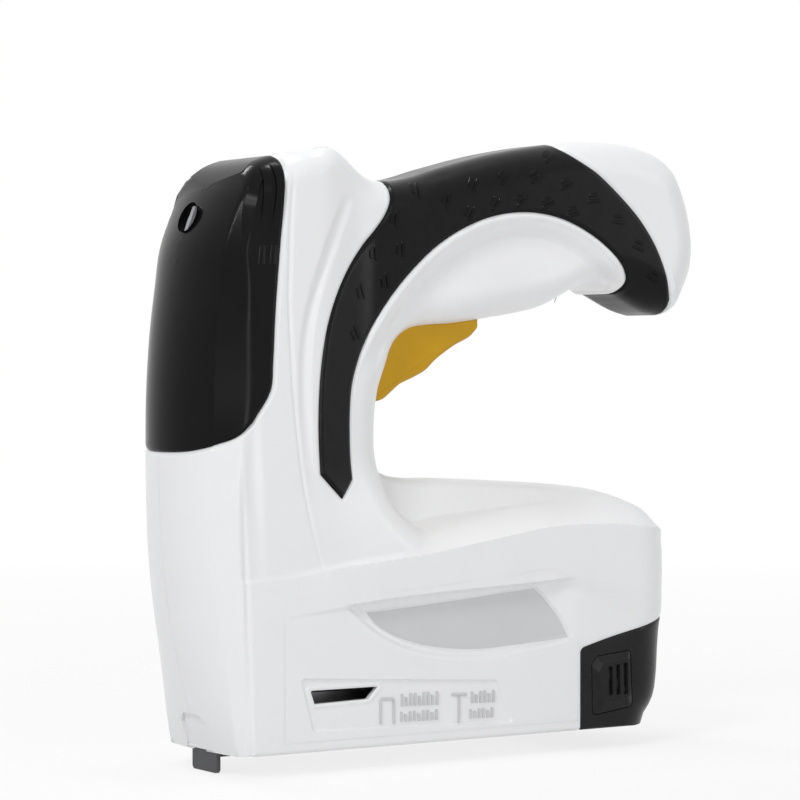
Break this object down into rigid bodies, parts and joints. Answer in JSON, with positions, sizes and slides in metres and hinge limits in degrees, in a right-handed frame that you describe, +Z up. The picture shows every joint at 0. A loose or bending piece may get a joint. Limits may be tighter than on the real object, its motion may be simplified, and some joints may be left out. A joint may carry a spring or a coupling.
{
  "type": "staple gun",
  "caption": "Cordless staple gun with a C-shaped handle, squeeze trigger, spring-driven hammer lifted by a geared motor, and a rear-loading magazine.",
  "frame": {"origin": "staple outlet: the driver blade's plane meets the flat underside of the base, midway across", "axes": "+X from the nose to the rear, +Z up the driver blade, +Y across to the tool's right side"},
  "size_m": [0.1859, 0.048, 0.1823],
  "materials": {
    "housing_white": "glossy injection-moulded shell",
    "cap_black": "glossy black moulding",
    "grip_rubber": "soft overmould with raised marks",
    "black_plastic": "fine-textured black moulding",
    "trigger_ochre": "satin moulding",
    "dial_grey": "satin grey moulding",
    "sheet_steel": "zinc-plated sheet",
    "tool_steel": "blackened hardened steel",
    "bright_steel": "ground steel",
    "spring_steel": "drawn wire",
    "screw_black": "black oxide",
    "staple_wire": "galvanised wire, glued",
    "gear_steel": "sintered steel",
    "gear_nylon": "natural nylon",
    "motor_can": "plated steel can",
    "bumper_rubber": "dense rubber",
    "switch_black": "moulded switch body",
    "plunger_red": "moulded",
    "pusher_plastic": "moulded acetal",
    "cell_sleeve": "shrink sleeve",
    "nickel": "nickel strip",
    "board_green": "solder-masked laminate",
    "component_black": "moulded components"
  },
  "bodies": {
    "body": {"housing_left": "housing_white", "housing_right": "housing_white", "nose_cap": "cap_black", "grip_left": "grip_rubber", "grip_right": "grip_rubber", "housing_screws": "screw_black", "magazine_track": "sheet_steel", "bumper_bracket": "sheet_steel", "bumper": "bumper_rubber", "guide_rods": "bright_steel", "spring_seat": "sheet_steel", "hammer_spring": "spring_steel", "left_plate": "sheet_steel", "motor_plate": "sheet_steel", "outer_plate": "sheet_steel", "gear_pins": "bright_steel", "plate_spacers": "bright_steel", "mechanism_screws": "screw_black", "motor": "motor_can", "motor_screws": "screw_black", "nose_guide": "tool_steel", "tip_spring": "spring_steel", "tip_sensor": "switch_black", "trigger_pin": "bright_steel", "trigger_spring": "spring_steel", "trigger_switch": "switch_black", "battery_cell": "cell_sleeve", "battery_tabs": "nickel", "control_board": "board_green", "board_components": "component_black", "usb_socket": "nickel", "tact_switch": "switch_black", "power_regulator": "switch_black"},
    "hammer": {"hammer": "tool_steel", "driver_blade": "tool_steel"},
    "lift_gear": {"lift_gear": "gear_steel"},
    "second_gear": {"second_gear": "gear_steel"},
    "first_gear": {"first_gear": "gear_nylon"},
    "motor_rotor": {"motor_pinion": "gear_steel"},
    "contact_tip": {"contact_tip": "tool_steel"},
    "trigger": {"trigger": "trigger_ochre"},
    "switch_plunger": {"switch_plunger": "plunger_red"},
    "magazine": {"magazine_drawer": "sheet_steel", "staple_rail": "sheet_steel", "staple_stick": "staple_wire", "pusher_rod": "bright_steel", "pusher_spring": "spring_steel", "magazine_end_cap": "black_plastic", "latch_spring": "spring_steel"},
    "pusher": {"pusher": "pusher_plastic"},
    "latch_button_left": {"magazine_button_left": "black_plastic"},
    "latch_button_right": {"magazine_button_right": "black_plastic"},
    "power_button": {"power_button": "black_plastic"},
    "power_dial": {"power_dial": "dial_grey"}
  },
  "joints": [
    {"name": "lift_turn", "type": "hinge", "parent": "body", "child": "lift_gear", "pos_m": [0.0255, 0, 0.084], "axis": [0, 1, 0], "range_deg": [0, 89]},
    {"name": "second_turn", "type": "hinge", "parent": "body", "child": "second_gear", "pos_m": [0.0285, 0, 0.10882], "axis": [0, 1, 0], "range_deg": [-282, 0]},
    {"name": "first_turn", "type": "hinge", "parent": "body", "child": "first_gear", "pos_m": [0.01509, 0, 0.11894], "axis": [0, 1, 0], "range_deg": [0, 705]},
    {"name": "motor_turn", "type": "hinge", "parent": "body", "child": "motor_rotor", "pos_m": [0.024, 0, 0.131], "axis": [0, 1, 0], "range_deg": [-2820, 0]},
    {"name": "hammer_lift", "type": "slide", "parent": "body", "child": "hammer", "axis": [0, 0, 1], "range_m": [0, 0.0279], "stiffness_N_per_m": 2000, "springref_m": -0.012, "deforming": ["hammer_spring"]},
    {"name": "tip_press", "type": "slide", "parent": "body", "child": "contact_tip", "axis": [0, 0, 1], "range_m": [0, 0.006], "stiffness_N_per_m": 1000, "springref_m": -0.009, "deforming": ["tip_spring"]},
    {"name": "trigger_pull", "type": "hinge", "parent": "body", "child": "trigger", "pos_m": [0.086, 0, 0.1285], "axis": [0, 1, 0], "range_deg": [0, 7], "stiffness_Nm_per_rad": 1.2, "springref_deg": -5.73, "deforming": ["trigger_spring"]},
    {"name": "plunger_press", "type": "slide", "parent": "body", "child": "switch_plunger", "axis": [0, 0, 1], "range_m": [0, 0.003]},
    {"name": "magazine_slide", "type": "slide", "parent": "body", "child": "magazine", "axis": [1, 0, 0], "range_m": [0, 0.118]},
    {"name": "pusher_slide", "type": "slide", "parent": "magazine", "child": "pusher", "axis": [1, 0, 0], "range_m": [0, 0.036], "stiffness_N_per_m": 120, "springref_m": -0.03, "deforming": ["pusher_spring"]},
    {"name": "latch_press_left", "type": "slide", "parent": "magazine", "child": "latch_button_left", "axis": [0, 1, 0], "range_m": [0, 0.0015], "stiffness_N_per_m": 1500, "springref_m": -0.001, "deforming": ["latch_spring"]},
    {"name": "latch_press_right", "type": "slide", "parent": "magazine", "child": "latch_button_right", "axis": [0, -1, 0], "range_m": [0, 0.0015], "stiffness_N_per_m": 1500, "springref_m": -0.001, "deforming": ["latch_spring"]},
    {"name": "power_press", "type": "slide", "parent": "body", "child": "power_button", "axis": [0, 0, -1], "range_m": [0, 0.0007], "stiffness_N_per_m": 2000, "springref_m": -0.0005},
    {"name": "dial_turn", "type": "hinge", "parent": "body", "child": "power_dial", "pos_m": [-0.0086, 0, 0.1496], "axis": [-0.9272, 0, 0.3746], "range_deg": [0, 270]}
  ],
  "couplings": [
    {"joint": "lift_turn", "follows": "hammer_lift", "rad_per_m": 55.556},
    {"joint": "second_turn", "follows": "hammer_lift", "rad_per_m": -175.93},
    {"joint": "first_turn", "follows": "hammer_lift", "rad_per_m": 439.81},
    {"joint": "motor_turn", "follows": "hammer_lift", "rad_per_m": -1759.3},
    {"joint": "plunger_press", "follows": "trigger_pull", "m_per_rad": 0.024}
  ]
}
